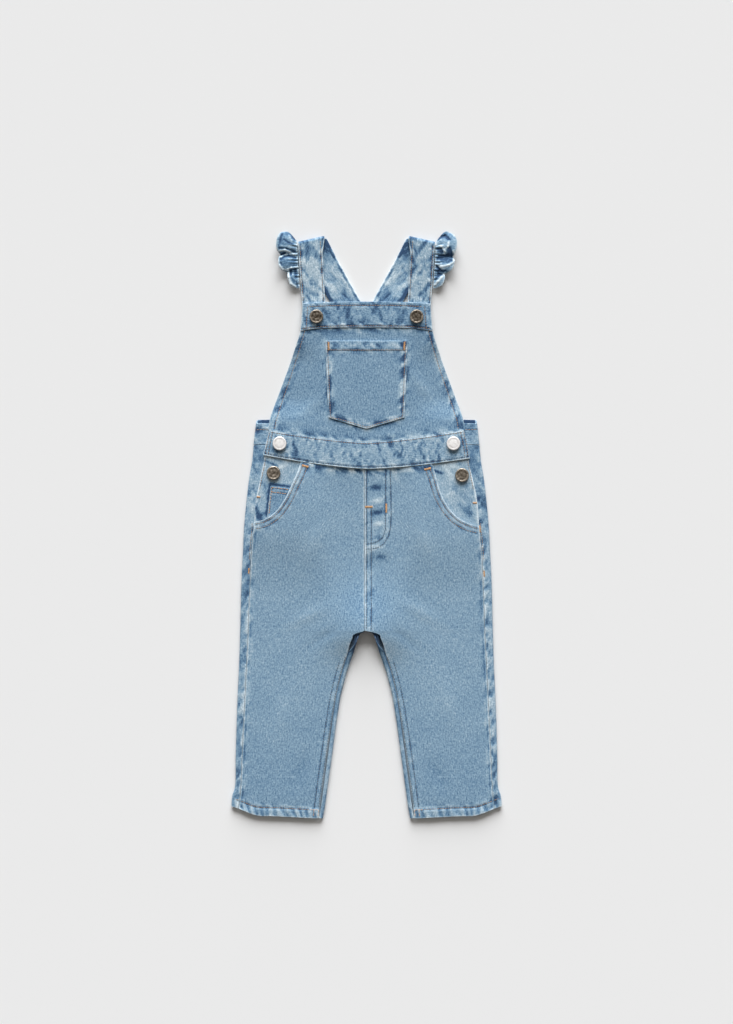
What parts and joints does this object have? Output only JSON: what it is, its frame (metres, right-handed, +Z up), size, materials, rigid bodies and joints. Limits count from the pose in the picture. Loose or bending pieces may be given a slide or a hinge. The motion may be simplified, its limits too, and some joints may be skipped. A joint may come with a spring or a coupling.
{
  "type": "dungarees",
  "caption": "Baby's stonewashed denim dungarees with a patch-pocket bib, ruffled shoulder straps and buttoned sides, laid flat with the front up.",
  "frame": {"origin": "on the surface that the garment lies on, under the middle of its bounding box", "axes": "+Z up out of the front, +Y from the hems towards the shoulder straps, +X towards the picture's right"},
  "size_m": [0.2922, 0.6332, 0.0113],
  "materials": {
    "denim": "light blue stonewashed cotton twill, pale on its folded edges and mottled along its seams",
    "aged_metal": "aged, brownish cast metal with a worn rim",
    "bright_metal": "bright nickel",
    "thread": "brown and orange topstitching thread"
  },
  "bodies": {
    "root": {"back_band": "denim", "back_leg_l": "denim", "back_leg_r": "denim", "bib": "denim", "bib_band": "denim", "bib_pocket": "denim", "coin_pocket": "denim", "front_leg_l": "denim", "front_leg_r": "denim", "hip_facing_l": "denim", "hip_facing_r": "denim", "ruffle_l": "denim", "ruffle_r": "denim", "strap_l": "denim", "strap_r": "denim", "waistband_front": "denim", "button_bib_l": "aged_metal", "button_bib_r": "aged_metal", "button_hip_l": "aged_metal", "button_hip_r": "aged_metal", "button_waist_l": "bright_metal", "button_waist_r": "bright_metal"}
  },
  "joints": []
}
